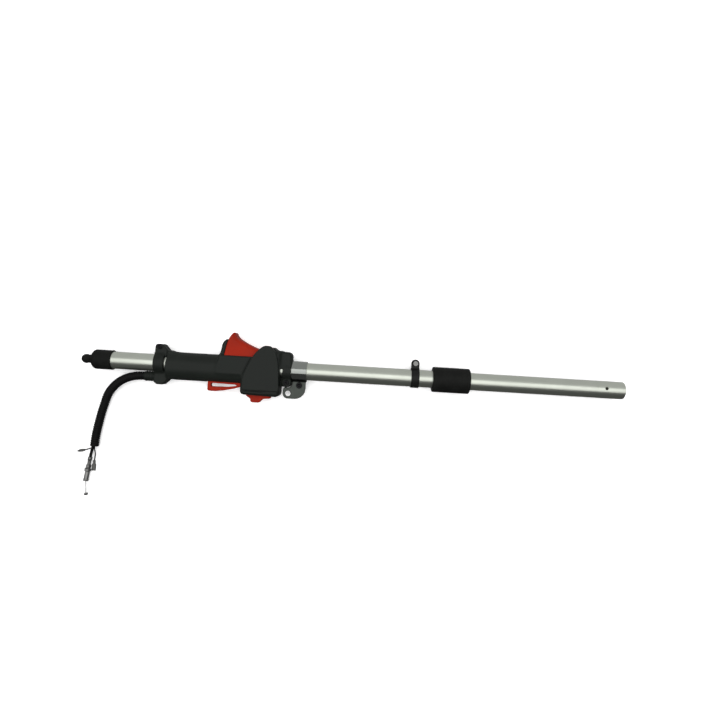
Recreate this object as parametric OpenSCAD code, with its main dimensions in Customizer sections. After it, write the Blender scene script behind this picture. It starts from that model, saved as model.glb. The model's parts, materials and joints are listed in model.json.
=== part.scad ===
// Upper shaft of a petrol pole tool: drive tube, throttle handle, hanger and cables.
// X runs along the tube and leaves its tool end, Y points to the trigger side, Z points up from
// the flat surface that the handle lies on. The origin is the centre of the tube's tool end.

/* [Drive tube] */
// Outer diameter of the tube
tube_d = 28; // [28:0.1:28.4]
// Wall thickness of the tube
tube_wall = 1.5; // [1.2:0.1:1.8]
// Length of the tube
tube_len = 858; // [850:1:862]
// Diameter of the locating hole near the tool end
locating_hole_d = 5.4; // [4:0.1:6]
// Distance from the tool end to the locating hole
locating_hole_at = 31; // [25:1:38]
// Distance from the tool end to the scribed depth line
depth_line_at = 45; // [42:1:60]

/* [Drive shaft] */
// Diameter of the drive shaft
shaft_d = 8; // [7:0.1:8]
// Running clearance between the shaft and its liners, on the radius
shaft_play = 0.05; // [0.03:0.01:0.1]
// Depth of the shaft's end inside the tool end of the tube
shaft_recess = 12; // [10:1:20]
// Number of splines on each end of the shaft
spline_count = 8; // [6:1:10]

/* [Fittings] */
// Distance from the tool end to the rubber sleeve
sleeve_at = 250; // [240:1:260]
// Length of the rubber sleeve
sleeve_len = 60; // [50:1:70]
// Distance from the tool end to the stop clamp
stop_at = 332; // [325:1:345]
// Width of the stop clamp's band
stop_w = 13; // [12:1:14]
// Distance from the tool end to the hanger's band
hanger_at = 513.5; // [512:0.5:514]
// Width of the hanger's band
hanger_w = 24.5; // [22:0.5:24.5]
// Diameter of the carry hole in the hanger plate
carry_hole_d = 9; // [7:0.5:10]

/* [Handle] */
// Half thickness of the trigger housing
pod_half = 20.5; // [20.5:0.1:21]
// Wall thickness of the handle shells
shell_wall = 3; // [2.5:0.1:3]
// Half width of the trigger
trigger_half = 17; // [16.5:0.1:17]
// Thickness of the trigger's cheeks
cheek_t = 2.5; // [2:0.1:2.5]

/* [Cord] */
// Outer diameter of the corrugated conduit
conduit_d = 14; // [13:0.5:14]
// Inner diameter of the conduit
conduit_bore = 11; // [10:0.1:11.4]
// Diameter of the throttle cable's jacket
cable_d = 4.7; // [4.2:0.1:4.8]
// Diameter of the inner wire
wire_d = 1.3; // [1.2:0.1:1.4]
// Diameter of each stop wire
lead_d = 1.9; // [1.6:0.1:2]

/* [Hidden] */
$fn = 64;

eps = 0.01;
tube_r = tube_d / 2;
tube_in = tube_r - tube_wall;
mouth_r = tube_in + 0.25;
mouth_deep = 11.5;
shaft_r = shaft_d / 2;
shaft_end = tube_len + 13;
cap_r = 16;
cap_mouth = tube_len - 29;
cap_play = 0.05;
liner_r = 5.5;
bush_len = 24;
bush_places = [60, 300, 560, 800];
depth_line_w = 0.8;
depth_line_deep = 0.25;
locating_roll = 10.5;
sleeve_r = 20.5;
stop_band_r = 15.6;
stop_ear_y = 24;
stop_ear_r = 6.5;
stop_gap = 1.5;
stop_ear_t = 2;
stop_mid = -(stop_at + stop_w / 2);
stop_screw_r = 2;
hanger_r = 16;
hanger_leaf = 2;
hanger_seam = 0.1;
hanger_bolt_at = [-525.2, -23];
hanger_bolt_r = 3;
carry_hole_at = [-543, -37];

// The handle's own origin is the tube axis straight under the trigger's pivot.
handle_at = 579;
pivot_y = 27.5;
pin_r = 3;
pin_play = 0.05;
hub_r = 9;
grip_r = 20;
grip_top = -0.6;
grip_low = -5.8;
grip_wall = 2.5;
grip_from = -158;
grip_to = -73;
pod_from = -38;
rim_y = 19.2;
pod_in = pod_half - shell_wall;
rear_screw_at = [-173, 26.5];
front_screw_at = [34, -19.5];
clamp_screw_r = 2.4;
clamp_head_r = 4.1;
front_boss_r = 7.5;
rear_lug_half = 10;
front_lug_half = 12;
shell_screw_places = [[-30, -34.5], [15.5, -34.5], [17, 22]];
lever_pivot = [-34, -24];
lever_half = 5;
lever_hub_r = 5.5;
lever_pin_r = 2;
rocker_pivot = [-12.5, -35.5];
rocker_half = 7;
rocker_pin_r = 1.5;
wire_y = -10.5;
wire_z = -13.4;

// Route of the conduit: out of the collar, down to the surface, then along it.
duct_y = -22.4;
conduit_route = [
    [-764, -22.4, 0], [-780, -22.4, 0], [-794, -23.8, -0.5], [-808, -28, -2.6], [-822, -36, -5.5],
    [-833, -46.5, -8.4], [-840.7, -58, -11], [-845.6, -71.5, -13], [-848.8, -82.5, -13.4],
    [-851.3, -93, -13.4], [-853.3, -103, -13.4], [-855.2, -113, -13.4], [-856.8, -123, -13.4],
    [-858.1, -133.5, -13.4], [-858.8, -144, -13.4]
];
cable_drop = -1.8;
lead_lift = 2.6;
lead_aside = 1.4;
cable_end_route = [
    [-860, -133.5, -15], [-861.6, -144, -14.5], [-862.9, -149.5, -14.9], [-863.9, -154, -15.2],
    [-864.8, -158, -15.4], [-865.3, -160.5, -15.4], [-865.6, -163, -15.4]
];
lead_a_route = [
    [-861.2, -146.9, -10.7], [-864.6, -148, -11.6], [-868.6, -149.5, -14.6], [-872.8, -151.1, -17.2],
    [-877, -152.4, -18.2]
];
lead_b_route = [
    [-858, -148, -12.3], [-858.3, -152.5, -15], [-858.8, -157.5, -17.6], [-859.6, -163, -18.9],
    [-860.2, -169, -19]
];
// The cable and the two stop leads inside the handle, between the tube and the grip's wall.
held_cable_route = [
    [-764, -22.4, -1.8], [-758, -22.3, -1.8], [-748, -21.6, -1.9], [-738, -20.6, -2.3],
    [-728, -19.4, -4.6], [-716, -18, -7.6], [-700, -17.5, -8.5], [-680, -17.3, -8.5],
    [-665, -15.5, -10], [-656, -12.3, -12.6], [-650, -10.5, -13.4], [-647, -10.5, -13.4]
];
held_lead_a_route = [
    [-764, -23.8, 2.6], [-758, -23.6, 2.7], [-748, -23, 2.8], [-738, -22.2, 3.2], [-728, -20.6, 5],
    [-716, -18.6, 7.4], [-700, -17.8, 8], [-680, -17.6, 8], [-655, -17.6, 8], [-630, -17.6, 8],
    [-614, -17.8, 7.6], [-604, -20, 4.5]
];
held_lead_b_route = [
    [-764, -21, 2.6], [-758, -20.9, 2.7], [-752, -20.8, 2.8], [-738, -20.2, 3.6], [-728, -18.6, 6.2],
    [-716, -16.6, 9.2], [-700, -16, 10.4], [-680, -16, 10.4], [-655, -16, 10.4], [-630, -16, 10.4],
    [-614, -16.4, 9.6], [-604, -18.9, 7]
];

// The adjuster starts where the cable ends and is turned a little from the Y axis.
// The wire leaves its far end on a slant of its own.
fitting_at = [-865.6, -163, -15.4];
fitting_turn = -7.5;
wire_turn = 4;
fitting_len = 40;
fitting_bore = 0.75;
fitting_end = fitting_at - fitting_len * [sin(-fitting_turn), cos(fitting_turn), 0];
// Distance along the adjuster and width across the flats of each nut.
nuts = [[13.5, 8], [19.5, 10]];
wire_out = 22;
nipple_r = 2.2;
nipple_half = 2.2;
lead_a_end = lead_a_route[len(lead_a_route) - 1];
lead_b_end = lead_b_route[len(lead_b_route) - 1];
rest_z = -pod_half;

charcoal = [0.12, 0.13, 0.12];
soot = [0.06, 0.06, 0.06];
signal_red = [0.65, 0.18, 0.1];
bright_steel = [0.75, 0.76, 0.76];
dull_zinc = [0.5, 0.51, 0.5];

function unit(v) = v / norm(v);
function tangent(p, i) = unit(p[min(i + 1, len(p) - 1)] - p[max(i - 1, 0)]);
function level_side(t) = unit(cross([0, 0, 1], t));
function ring_points(p, i, r, n, off) =
    let (t = tangent(p, i))
    let (s = level_side(t))
    let (u = cross(t, s))
    [for (k = [0:n - 1]) p[i] + (off[0] + r * cos(360 * k / n)) * s + (off[1] + r * sin(360 * k / n)) * u];
function skin_faces(m, n, from, turned) = [
    for (i = [0:m - 2])
        for (k = [0:n - 1])
            let (a = from + i * n + k)
            let (b = from + i * n + (k + 1) % n)
            each turned ? [[a, b, b + n], [a, b + n, a + n]] : [[a, a + n, b + n], [a, b + n, b]]
];
function helix(turns, r, pitch, step) = [
    for (a = [0:step:360 * turns]) [r * cos(a), r * sin(a), pitch * a / 360]
];

// A round rod swept along a route, off its centre by a sideways and an upward distance.
module swept_rod(path, r, n, off = [0, 0]) {
    m = len(path);
    points = [for (i = [0:m - 1]) each ring_points(path, i, r, n, off)];
    start = [[for (k = [0:n - 1]) k]];
    finish = [[for (k = [n - 1:-1:0]) (m - 1) * n + k]];
    polyhedron(points, concat(start, finish, skin_faces(m, n, 0, false)));
}

// A hollow pipe swept along a route.
module swept_pipe(path, r, r_in, n) {
    m = len(path);
    outer = [for (i = [0:m - 1]) each ring_points(path, i, r, n, [0, 0])];
    inner = [for (i = [0:m - 1]) each ring_points(path, i, r_in, n, [0, 0])];
    last = (m - 1) * n;
    start = [for (k = [0:n - 1]) [k, (k + 1) % n, m * n + (k + 1) % n, m * n + k]];
    finish = [for (k = [0:n - 1]) [last + (k + 1) % n, last + k, m * n + last + k, m * n + last + (k + 1) % n]];
    walls = concat(skin_faces(m, n, 0, false), skin_faces(m, n, m * n, true));
    polyhedron(concat(outer, inner), concat(start, finish, walls));
}

// A cylinder along the tube, between two places measured back from the tool end.
module along(from, to, r) {
    translate([-to, 0, 0]) rotate([0, 90, 0]) cylinder(h = to - from, r = r);
}

module pipe_along(from, to, r, r_in) {
    difference() {
        along(from, to, r);
        along(from - 1, to + 1, r_in);
    }
}

// A flat shape in X and Y, made solid between two heights.
module slab(low, high) {
    translate([0, 0, low]) linear_extrude(high - low) children();
}

module post(at, r, low, high) {
    translate([at[0], at[1], low]) cylinder(h = high - low, r = r);
}

module in_handle() {
    translate([-handle_at, 0, 0]) children();
}

// A hexagon nut or head between two heights.
module hex(at, across, low, high) {
    translate([at[0], at[1], low]) cylinder(h = high - low, r = across / 2 / cos(30), $fn = 6);
}

// ---- Tube and drive ----

module drive_tube() {
    color(bright_steel)
        difference() {
            along(0, tube_len, tube_r);
            along(-1, tube_len + 1, tube_in);
            along(-1, mouth_deep, mouth_r);
            rotate([-locating_roll, 0, 0])
                post([-locating_hole_at, 0], locating_hole_d / 2, 0, tube_d);
            pipe_along(depth_line_at, depth_line_at + depth_line_w, tube_d, tube_r - depth_line_deep);
        }
}

module spline_grooves(from, to) {
    groove_r = 0.9;
    for (k = [0:spline_count - 1])
        rotate([360 * k / spline_count, 0, 0])
            translate([0, shaft_r + 0.2, 0]) along(from, to, groove_r, $fn = 16);
}

module drive_shaft() {
    spline_len = 16;
    color(dull_zinc)
        difference() {
            along(shaft_recess, shaft_end, shaft_r);
            spline_grooves(shaft_recess - 1, shaft_recess + spline_len);
            spline_grooves(shaft_end - spline_len, shaft_end + 1);
        }
}

module shaft_liners() {
    color([0.7, 0.5, 0.25])
        for (at = bush_places)
            pipe_along(at, at + bush_len, liner_r, shaft_r + shaft_play);
}

module shaft_bushes() {
    waist = 1.5;
    color(soot)
        for (at = bush_places)
            difference() {
                pipe_along(at, at + bush_len, tube_in, liner_r);
                pipe_along(at + bush_len / 3, at + bush_len * 2 / 3, tube_d, tube_in - waist);
            }
}

module engine_end_cap() {
    shoulder_r = 7;
    nub_r = 7.6;
    pocket_r = 5.5;
    lip = 0.3;
    body_end = tube_len + 4;
    nub_mid = tube_len + 15.6;
    wall_at = tube_len + 0.1;
    pocket_end = nub_mid + 4;
    color(soot)
        rotate([0, -90, 0])
            rotate_extrude()
                difference() {
                    union() {
                        translate([0, cap_mouth]) square([cap_r, body_end - shoulder_r - cap_mouth]);
                        translate([0, cap_mouth]) square([cap_r - shoulder_r, body_end - cap_mouth]);
                        intersection() {
                            translate([cap_r - shoulder_r, body_end - shoulder_r]) circle(r = shoulder_r);
                            translate([0, cap_mouth]) square([cap_r, body_end - cap_mouth]);
                        }
                        translate([0, body_end - lip]) square([nub_r, nub_mid - body_end + lip]);
                        intersection() {
                            translate([0, nub_mid]) circle(r = nub_r);
                            translate([0, nub_mid]) square(nub_r);
                        }
                    }
                    translate([-1, cap_mouth - 1]) square([1 + tube_r + cap_play, wall_at - cap_mouth + 1]);
                    translate([-1, cap_mouth]) square([1 + pocket_r, pocket_end - cap_mouth]);
                }
}

// ---- Fittings on the tube ----

module rubber_sleeve() {
    edge = 2;
    color(soot)
        translate([-sleeve_at, 0, 0])
            rotate([0, -90, 0])
                rotate_extrude()
                    polygon([
                        [tube_r, 0], [sleeve_r - edge, 0], [sleeve_r, edge], [sleeve_r, sleeve_len - edge],
                        [sleeve_r - edge, sleeve_len], [tube_r, sleeve_len]
                    ]);
}

module stop_ear() {
    post([stop_mid, stop_ear_y], stop_ear_r, stop_gap, stop_gap + stop_ear_t);
    slab(stop_gap, stop_gap + stop_ear_t)
        translate([stop_mid - stop_ear_r, tube_r])
            square([2 * stop_ear_r, stop_ear_y - tube_r]);
}

module stop_clamp() {
    color(charcoal)
        difference() {
            union() {
                along(stop_at, stop_at + stop_w, stop_band_r);
                stop_ear();
                mirror([0, 0, 1]) stop_ear();
            }
            along(stop_at - 1, stop_at + stop_w + 1, tube_r);
            slab(-stop_gap, stop_gap)
                translate([stop_mid - stop_w, 0]) square([2 * stop_w, 3 * tube_r]);
            post([stop_mid, stop_ear_y], stop_screw_r + 0.1, -tube_r, tube_r);
        }
}

module stop_clamp_screw() {
    top = stop_gap + stop_ear_t;
    head_r = 3.8;
    head_h = 2.4;
    slot_w = 0.9;
    color(bright_steel)
        difference() {
            union() {
                post([stop_mid, stop_ear_y], stop_screw_r, -7, top);
                post([stop_mid, stop_ear_y], head_r, top, top + head_h);
            }
            slab(top + head_h - 1, top + 3) translate([stop_mid, stop_ear_y]) {
                square([5, slot_w], center = true);
                square([slot_w, 5], center = true);
            }
        }
}

module stop_clamp_nut() {
    low = -stop_gap - stop_ear_t;
    across = 7;
    thick = 3.2;
    color(bright_steel)
        difference() {
            hex([stop_mid, stop_ear_y], across, low - thick, low);
            post([stop_mid, stop_ear_y], stop_screw_r, low - 4, low + 1);
        }
}

// Outline of the hanger's plate, which hangs under its band and clears the handle's front clamp.
module hanger_outline() {
    clamp_end = handle_at - 40.5;
    clear = 0.7;
    difference() {
        union() {
            translate([-532.4, -27.8]) circle(r = 17.6);
            translate(carry_hole_at) circle(r = 8.4);
            polygon([[-539, -12], [-514.8, -12], [-515, -26], [-530, -45], [-543, -45.4], [-551, -37], [-549, -29]]);
        }
        translate([-60 - clamp_end, -18 - clear]) square([60.3, 40]);
        translate([front_screw_at[0] - handle_at, front_screw_at[1]]) circle(r = front_boss_r + clear);
    }
}

module hanger_bracket() {
    plate_half = hanger_leaf + hanger_seam;
    color(bright_steel)
        difference() {
            union() {
                along(hanger_at, hanger_at + hanger_w, hanger_r);
                slab(-plate_half, plate_half)
                    intersection() {
                        hanger_outline();
                        translate([-560, -46]) square([45.3, 46 - tube_r + 3]);
                    }
            }
            along(hanger_at - 1, hanger_at + 60, tube_r);
            slab(-hanger_seam, hanger_seam) translate([-570, -60]) square([80, 60]);
            post(hanger_bolt_at, hanger_bolt_r + 0.1, -plate_half - 1, plate_half + 1);
            post(carry_hole_at, carry_hole_d / 2, -plate_half - 1, plate_half + 1);
        }
}

module hanger_bolt() {
    top = hanger_leaf + hanger_seam;
    color(soot)
        difference() {
            union() {
                post(hanger_bolt_at, hanger_bolt_r, -10, top);
                post(hanger_bolt_at, 5, top, top + 4);
            }
            hex(hanger_bolt_at, 5, top + 1.5, top + 5);
        }
}

module hanger_nut() {
    low = -hanger_leaf - hanger_seam;
    color(dull_zinc)
        difference() {
            hex(hanger_bolt_at, 10, low - 5, low);
            post(hanger_bolt_at, hanger_bolt_r, low - 6, low + 1);
        }
}

// ---- Handle shells ----

module grip_section(r) {
    translate([grip_top, 0]) circle(r = r);
    translate([grip_low, 0]) circle(r = r);
    translate([grip_low, -r]) square([grip_top - grip_low, 2 * r]);
}

module grip_prism(from, to, r) {
    translate([from, 0, 0]) rotate([90, 0, 90]) linear_extrude(to - from) grip_section(r);
}

module leaf_outline() {
    polygon([
        [-34.5, -34.5], [-35.5, -18.5], [-33.5, -9], [-28.5, 3.5], [-22, 17], [-16, 26], [-9, 33.3],
        [11.5, 32.5], [16.3, 28], [20, 15], [22, 0.5], [23.2, -18.5], [23.5, -34.5]
    ]);
}

module pod_outline() {
    union() {
        translate([1, 27.8]) circle(r = 9.8);
        polygon([
            [grip_to - 1, -8], [-39, -8], [-39, -37], [-34, -42.5], [17.5, -43.5], [23, -38], [23, 30],
            [10, 30], [-9, 32.7], [-16, 25.4], [-20.5, rim_y], [grip_to - 1, rim_y]
        ]);
    }
}

module pod_cavity_outline() {
    polygon([
        [grip_to - 2, -8], [-36, -8], [-36, -36.5], [-33, -39.5], [16, -40], [20, -36.5], [20, 16.2],
        [grip_to - 2, 16.2]
    ]);
}

module fin_outline() {
    polygon([
        [-79, 18], [-75, 22], [-73.4, 28], [-72.2, 37], [-70, 42], [-66.5, 45], [-63, 45.2], [-65.4, 34.8],
        [-68.3, 18]
    ]);
}

module rear_clamp_outline() {
    polygon([
        [-180.5, -29], [-178, -34], [-166.5, -34], [-158, -25.5], [grip_from, 22.4], [-162, 23.6],
        [-169, 30.8], [-179, 31], [-180.5, 29]
    ]);
}

module front_block_outline() {
    polygon([[10.2, 8], [10.2, 35.5], [12.5, 34.5], [17, 30], [34, 30], [39, 26], [40.5, 21], [40.5, 8]]);
}

module handle_outside() {
    grip_prism(grip_from, pod_from, grip_r);
    slab(-14, 14)
        polygon([[grip_from - 2, 10], [grip_from - 2, 23], [-155, 21.8], [-150, 19.8], [-144, 18.5], [-144, 10]]);
    slab(-pod_half, pod_half) pod_outline();
    slab(-13, 13) fin_outline();
    along(164, 180.5, 18.5);
    slab(-rear_lug_half, rear_lug_half) rear_clamp_outline();
    along(-40.5, -21, 18);
    slab(-14, 14) front_block_outline();
    post(front_screw_at, front_boss_r, -front_lug_half, front_lug_half);
}

module handle_inside() {
    along(-42, 182, tube_r);
    grip_prism(grip_from, pod_from + 2.1, grip_r - grip_wall);
    slab(-pod_in, pod_in) pod_cavity_outline();
    // Trigger slot in the top, and the gap beside the trigger's hub.
    slab(-pod_in, pod_in) polygon([[-68.2, 10], [-68.2, 19], [-64.9, 34.8], [-62, 50], [10.2, 50], [10.2, 10]]);
    // Slit of each tube clamp.
    slab(-pod_half - 1, pod_half + 1) polygon([[-163, 2.5], [-159, 2.5], [-159, 13], [-163, 13]]);
    slab(-pod_half - 1, pod_half + 1) polygon([[23.2, -46], [27.3, -46], [27.3, 3], [23.2, 3]]);
    // Cable duct under the tube in the rear clamp.
    translate([0, duct_y, 0]) along(150, 182, 5.5);
    translate([0, duct_y, 0]) along(174, 182, 6.5);
    // Slot for the safety lever, along the grip's underside and through the pod's rear wall.
    slab(-lever_half - 1, lever_half + 1)
        polygon([[-97, -40], [-97, -18], [-35, -18], [-35, -34], [-60, -40]]);
    // Window for the stop rocker.
    slab(-rocker_half - 1, rocker_half + 1) polygon([[-34, -46], [11, -46], [11, -37], [-34, -37]]);
}

module shell_bosses() {
    for (at = shell_screw_places)
        post(at, 3.4, -pod_in - eps, pod_in + eps);
    for (side = [0, 1])
        mirror([0, 0, side]) {
            post(lever_pivot, 4, lever_half + 1, pod_in + eps);
            post(rocker_pivot, 3.2, rocker_half + 1, pod_in + eps);
        }
}

module handle_body() {
    difference() {
        union() {
            difference() {
                handle_outside();
                handle_inside();
            }
            shell_bosses();
        }
        post([0, pivot_y], pin_r, -pod_half - 1, pod_half + 1);
        post(lever_pivot, lever_pin_r, -pod_in - 1, pod_in + 1);
        post(rocker_pivot, rocker_pin_r, -pod_in - 1, pod_in + 1);
        post(rear_screw_at, clamp_screw_r, -pod_half - 1, pod_half + 1);
        post(front_screw_at, clamp_screw_r, -pod_half - 1, pod_half + 1);
        for (at = shell_screw_places) {
            post(at, 1.5, -pod_half - 1, 12);
            post(at, 3.2, -pod_half - 1, -pod_half + 2.6);
        }
    }
}

module handle_shell_front() {
    color(charcoal)
        in_handle()
            intersection() {
                handle_body();
                translate([-200, -60, 0]) cube([260, 120, 60]);
            }
}

module handle_shell_back() {
    color(charcoal)
        in_handle()
            intersection() {
                handle_body();
                translate([-200, -60, -60]) cube([260, 120, 60]);
            }
}

module linkage_cover() {
    lift = 4.5;
    middle = [-6, -5];
    color(charcoal)
        in_handle()
            difference() {
                union() {
                    slab(pod_half, pod_half + lift) leaf_outline();
                    post([2, 27.8], 10.2, pod_half, pod_half + lift);
                }
                slab(pod_half - 1, pod_half + lift - 2)
                    translate(middle) scale(0.86) translate(-middle) leaf_outline();
            }
}

module clamp_screw(at, half) {
    difference() {
        union() {
            post(at, clamp_screw_r, -half - 4, half);
            post(at, clamp_head_r, half, half + 3);
        }
        hex(at, 4, half + 1, half + 4);
    }
}

module clamp_screws() {
    color(soot)
        in_handle() {
            clamp_screw(rear_screw_at, rear_lug_half);
            clamp_screw(front_screw_at, front_lug_half);
        }
}

module clamp_nut(at, half) {
    difference() {
        hex(at, 8, -half - 3.6, -half);
        post(at, clamp_screw_r, -half - 4, -half + 1);
    }
}

module clamp_nuts() {
    color(dull_zinc)
        in_handle() {
            clamp_nut(rear_screw_at, rear_lug_half);
            clamp_nut(front_screw_at, front_lug_half);
        }
}

module shell_screws() {
    head_low = -pod_half + 0.4;
    color(soot)
        in_handle()
            for (at = shell_screw_places)
                difference() {
                    union() {
                        post(at, 1.5, head_low, 11.5);
                        post(at, 3, head_low, -pod_half + 2.6);
                    }
                    slab(head_low - 1, head_low + 0.9) translate(at) square([4, 0.8], center = true);
                }
}

// ---- Throttle trigger ----

module trigger_outline() {
    union() {
        translate([0, pivot_y]) circle(r = hub_r);
        polygon([
            [-67.5, 12], [-67.5, 19.6], [-64.6, 34.8], [-61.2, 46.5], [-58.2, 51.4], [-54.8, 56],
            [-52.8, 56], [-51.4, 52.2], [-47, 47.2], [-36.2, 41], [-22, 34.6], [-13.4, 32],
            [0, 36],
            [6, 20.5], [0, 17], [-20, 12]
        ]);
    }
}

// The room inside the trigger, which lets it come down astride the tube.
module trigger_room() {
    polygon([
        [-80, 0], [-80, 33], [-62.5, 33], [-59.4, 44], [-57, 48.8], [-54.6, 48.8], [-48.8, 44.4],
        [-37.4, 37.8], [-22.6, 31.2], [-16, 28.6], [-9.5, 21], [-9.5, 0]
    ]);
}

// The arm on the back cheek that pulls the inner wire.
module pull_arm() {
    slab(-trigger_half, -trigger_half + cheek_t) {
        translate([0, wire_y]) circle(r = 6);
        polygon([[-7, 24], [7, 24], [5.8, wire_y], [-5.8, wire_y]]);
    }
}

module throttle_trigger() {
    color(signal_red)
        in_handle()
            difference() {
                union() {
                    difference() {
                        slab(-trigger_half, trigger_half) trigger_outline();
                        slab(-trigger_half + cheek_t, trigger_half - cheek_t) trigger_room();
                        slab(-trigger_half + cheek_t, trigger_half - cheek_t)
                            translate([-12, 0]) square([30, 18.6]);
                    }
                    pull_arm();
                }
                post([0, pivot_y], pin_r + pin_play, -20, 20);
                post([0, pivot_y], 7.2, -7.5, 7.5);
                slab(-7.5, 7.5) translate([-9.6, 10]) square([17, 15]);
                post([0, wire_y], 3.8, -20, 0);
            }
}

module trigger_pin() {
    color(dull_zinc) in_handle() post([0, pivot_y], pin_r, -pod_half + 0.5, pod_half);
}

module trigger_spring() {
    turns = 5;
    pitch = 1.9;
    coil_r = 5.2;
    low = -pitch * turns / 2;
    color(bright_steel)
        in_handle()
            translate([0, pivot_y, low]) {
                swept_rod(
                    concat([[6, -6, 0]], helix(turns, coil_r, pitch, 22.5), [[5, 4.6, pitch * turns]]),
                    0.7, 6
                );
            }
}

// ---- Safety lever ----

module lever_outline() {
    difference() {
        polygon([
            [-94.5, -23], [-94.5, -38.3], [-92.3, -40.2], [-81.6, -40.3], [-66.8, -38.2], [-52, -34.6],
            [-42, -31.6], [-34, -29.4], [-34, -23]
        ]);
        polygon([[-89, -27.2], [-50, -27.8], [-46, -29.2], [-52, -30.8], [-62, -32.2], [-87.6, -32.8], [-89, -31.4]]);
    }
}

module safety_lever() {
    color(signal_red)
        in_handle()
            difference() {
                union() {
                    slab(-lever_half, lever_half) lever_outline();
                    post(lever_pivot, lever_hub_r, -lever_half, lever_half);
                }
                post(lever_pivot, lever_pin_r + pin_play, -lever_half - 1, lever_half + 1);
                post(lever_pivot, 4.3, -3, 3);
            }
}

module safety_pin() {
    color(dull_zinc) in_handle() post(lever_pivot, lever_pin_r, -pod_in - 1, pod_in + 1);
}

module safety_spring() {
    turns = 4;
    pitch = 1.25;
    color(bright_steel)
        in_handle()
            translate([lever_pivot[0], lever_pivot[1], -pitch * turns / 2])
                swept_rod(helix(turns, 3.3, pitch, 30), 0.45, 6);
}

// ---- Stop switch ----

module stop_rocker() {
    color(signal_red)
        in_handle()
            difference() {
                union() {
                    slab(-rocker_half, rocker_half)
                        polygon([
                            [-31, -40], [8.6, -41.2], [8.6, -47], [-4.2, -48.4], [-6.5, -51.5],
                            [-9.6, -54.7], [-20.6, -54.9], [-23.2, -53], [-23.5, -49.2], [-27.5, -46.2],
                            [-31, -43.9]
                        ]);
                    slab(-rocker_half, rocker_half)
                        polygon([[-16.2, -35.5], [-8.8, -35.5], [-7, -41], [-18, -41]]);
                    post(rocker_pivot, 3.7, -rocker_half, rocker_half);
                }
                post(rocker_pivot, rocker_pin_r + pin_play, -rocker_half - 1, rocker_half + 1);
            }
}

module rocker_pin() {
    color(dull_zinc) in_handle() post(rocker_pivot, rocker_pin_r, -pod_in - 1, pod_in + 1);
}

module switch_housing() {
    color(soot)
        in_handle()
            difference() {
                translate([-25, -29.5, -8]) cube([24, 11.5, 16]);
                translate([-23, -30.5, -6]) cube([20, 8, 12]);
                translate([-30, 0, 0]) rotate([0, 90, 0]) cylinder(h = 40, r = tube_r + 4);
            }
}

module switch_contacts() {
    color([0.8, 0.6, 0.25])
        in_handle()
            for (z = [-4.5, 1.5])
                translate([0, 0, z]) linear_extrude(3)
                    polygon([[-22, -22.5], [-22, -28], [-6, -29.2], [-6, -28.6], [-21.3, -27.4], [-21.3, -22.5]]);
}

// ---- Throttle cable, held in the handle ----

module cable_stop() {
    color(dull_zinc)
        translate([0, wire_y, wire_z])
            difference() {
                along(631, 647, 2.9);
                along(630, 645, fitting_bore);
            }
}

module throttle_wire_front() {
    color(bright_steel) translate([0, wire_y, wire_z]) along(handle_at + nipple_r, 643, wire_d / 2, $fn = 16);
}

module front_nipple() {
    color(dull_zinc) in_handle() post([0, wire_y], nipple_r, -trigger_half + 0.1, -trigger_half + 5.5);
}

module throttle_cable_held() {
    color(soot) swept_rod(held_cable_route, cable_d / 2, 8);
}

module stop_wires_held() {
    color(soot) {
        swept_rod(held_lead_a_route, lead_d / 2, 8);
        swept_rod(held_lead_b_route, lead_d / 2, 8);
    }
}

// ---- Free cord ----

module conduit_collar() {
    rib_w = 2;
    rib_r = 8.3;
    socket_at = 764;
    color(soot)
        translate([0, duct_y, 0])
            difference() {
                union() {
                    along(759.5, 776.5, 7.9);
                    for (k = [0:3])
                        along(760.5 + k * 2 * rib_w, 760.5 + k * 2 * rib_w + rib_w, rib_r);
                    along(753.5, 760, 6.4);
                }
                along(socket_at, 778, conduit_d / 2);
                along(752, socket_at + 1, 4.5);
            }
}

module conduit() {
    color(soot) swept_pipe(conduit_route, conduit_d / 2, conduit_bore / 2, 12);
}

function beside(path, side, up, short = 0) = [
    for (i = [0:len(path) - 1 - short])
        let (t = tangent(path, i))
        path[i] + side * level_side(t) + up * cross(t, level_side(t))
];

module throttle_cable_tail() {
    color(soot)
        swept_rod(concat(beside(conduit_route, 0, cable_drop, 2), cable_end_route), cable_d / 2, 8);
}

module stop_wire_a() {
    color(soot)
        swept_rod(concat(beside(conduit_route, -lead_aside, lead_lift), lead_a_route), lead_d / 2, 8);
}

module stop_wire_b() {
    color(soot)
        swept_rod(concat(beside(conduit_route, lead_aside, lead_lift), lead_b_route), lead_d / 2, 8);
}

module bullet_terminal() {
    color(dull_zinc)
        translate(lead_a_end)
            rotate([0, -90, 12]) {
                cylinder(h = 4, r1 = 1.7, r2 = 2.2);
                translate([0, 0, 4]) cylinder(h = 4, r = 2.2);
                translate([0, 0, 8]) cylinder(h = 4, r1 = 2.2, r2 = 1);
            }
}

module spade_terminal() {
    color(dull_zinc)
        translate([lead_b_end[0], lead_b_end[1], rest_z + 0.1])
            rotate([0, 0, -1]) {
                translate([-1.7, -6, 0]) cube([3.4, 6, 2.9]);
                difference() {
                    translate([-2.9, -17, 0]) cube([5.8, 11.2, 2.6]);
                    translate([-2.2, -18, 0.7]) cube([4.4, 11, 1.2]);
                }
            }
}

// ---- Adjuster at the cable's end ----

module on_fitting() {
    translate(fitting_at) rotate([90, 0, fitting_turn]) children();
}

module on_wire() {
    translate(fitting_end) rotate([90, 0, wire_turn]) children();
}

module cable_adjuster() {
    color(dull_zinc)
        difference() {
            on_fitting() {
                cylinder(h = 6, r = 3.4);
                translate([0, 0, 6]) cylinder(h = 30, r = 2.9);
                translate([0, 0, 24]) cylinder(h = 13, r = 3.7);
                translate([0, 0, 37]) cylinder(h = fitting_len - 37, r = 4.2);
            }
            on_wire() translate([0, 0, -14]) cylinder(h = 16, r = fitting_bore);
        }
}

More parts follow.
